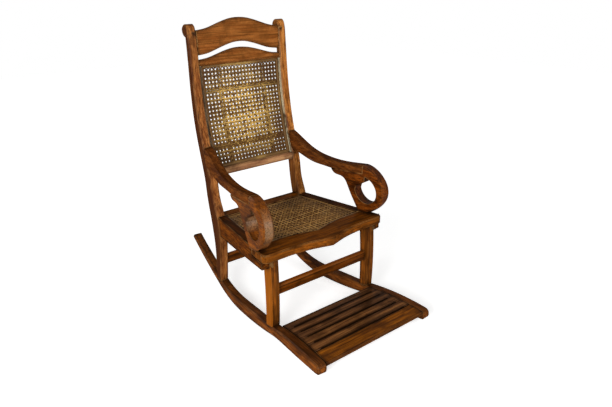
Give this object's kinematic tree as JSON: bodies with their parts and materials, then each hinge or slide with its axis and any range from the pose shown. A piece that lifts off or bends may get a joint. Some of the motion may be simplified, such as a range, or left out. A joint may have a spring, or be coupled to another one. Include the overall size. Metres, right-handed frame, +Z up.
{
  "type": "rocking chair",
  "caption": "Wooden rocking chair with caned seat and back, open scrolled arms, curved rockers and a slatted footrest carried on the rocker fronts.",
  "frame": {"origin": "on the floor under the middle of the chair's length and width, as it stands at rest", "axes": "+Z up, -Y towards the front of the chair and its footrest, +X towards the sitter's left"},
  "size_m": [0.6104, 0.9475, 1.1101],
  "materials": {
    "varnished_wood": "satin varnish",
    "woven_cane": "hand-woven cane, lightly varnished"
  },
  "bodies": {
    "root": {"back_bottom_rail": "varnished_wood", "back_cane": "woven_cane", "back_top_rail": "varnished_wood", "crest_rail": "varnished_wood", "footrest_front_board": "varnished_wood", "footrest_slat_1": "varnished_wood", "footrest_slat_2": "varnished_wood", "footrest_slat_3": "varnished_wood", "footrest_slat_4": "varnished_wood", "footrest_slat_5": "varnished_wood", "front_stretcher": "varnished_wood", "left_arm": "varnished_wood", "left_arm_scroll": "varnished_wood", "left_back_bead": "varnished_wood", "left_back_post": "varnished_wood", "left_footrest_cleat": "varnished_wood", "left_front_leg": "varnished_wood", "left_rocker": "varnished_wood", "left_seat_side_rail": "varnished_wood", "rear_stretcher": "varnished_wood", "right_arm": "varnished_wood", "right_arm_scroll": "varnished_wood", "right_back_bead": "varnished_wood", "right_back_post": "varnished_wood", "right_footrest_cleat": "varnished_wood", "right_front_leg": "varnished_wood", "right_rocker": "varnished_wood", "right_seat_side_rail": "varnished_wood", "seat_back_rail": "varnished_wood", "seat_cane": "woven_cane", "seat_front_rail": "varnished_wood"}
  },
  "joints": []
}
